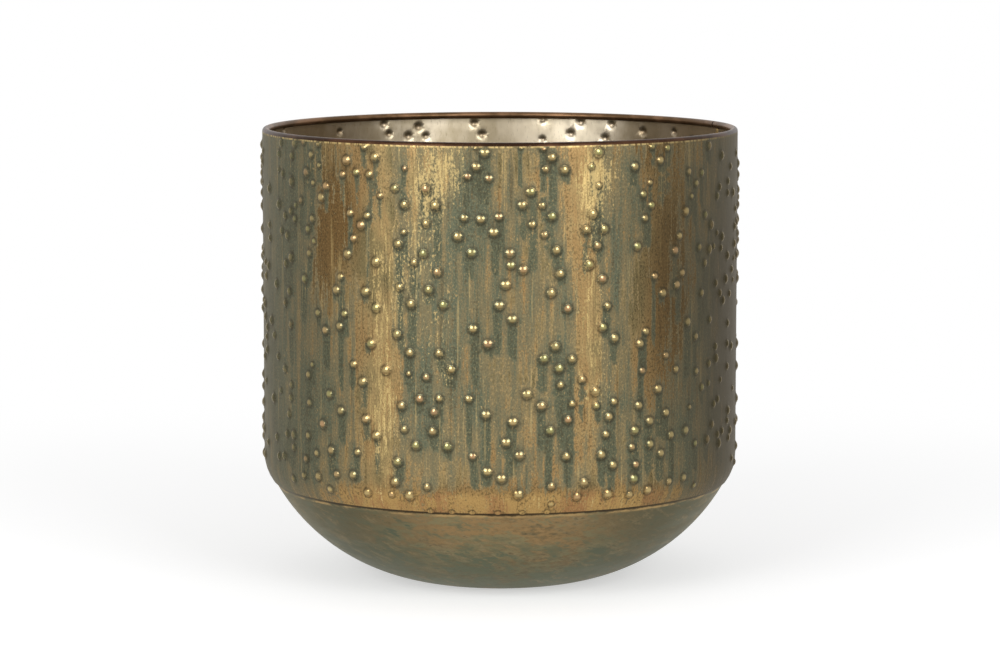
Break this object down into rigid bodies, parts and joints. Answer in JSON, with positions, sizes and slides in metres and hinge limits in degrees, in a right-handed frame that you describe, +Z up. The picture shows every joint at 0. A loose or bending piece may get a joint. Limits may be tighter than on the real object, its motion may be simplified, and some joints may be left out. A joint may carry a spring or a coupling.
{
  "type": "cachepot",
  "caption": "Round cachepot of thin sheet metal: straight rolled wall with a wired rim and random raised bumps, lapped over a pressed bowl base with a flat foot.",
  "frame": {"origin": "middle of the flat foot's underside, at the bottom centre of the bounding box", "axes": "+Z up along the pot's own axis, +X to the right and +Y away in the picture"},
  "size_m": [0.3, 0.303, 0.286],
  "materials": {
    "wall_sheet": "aged brass, satin, with grey-green verdigris runs and a rubbed pale gold on the bumps",
    "bowl_sheet": "dark aged brass, satin, mottled olive grey",
    "rim_wire": "dull drawn wire",
    "weld_filler": "dull brazed filler"
  },
  "bodies": {
    "root": {"side_wall": "wall_sheet", "rim_wire": "rim_wire", "base_bowl": "bowl_sheet", "base_joint_weld": "weld_filler", "side_seam_weld": "weld_filler"}
  },
  "joints": []
}
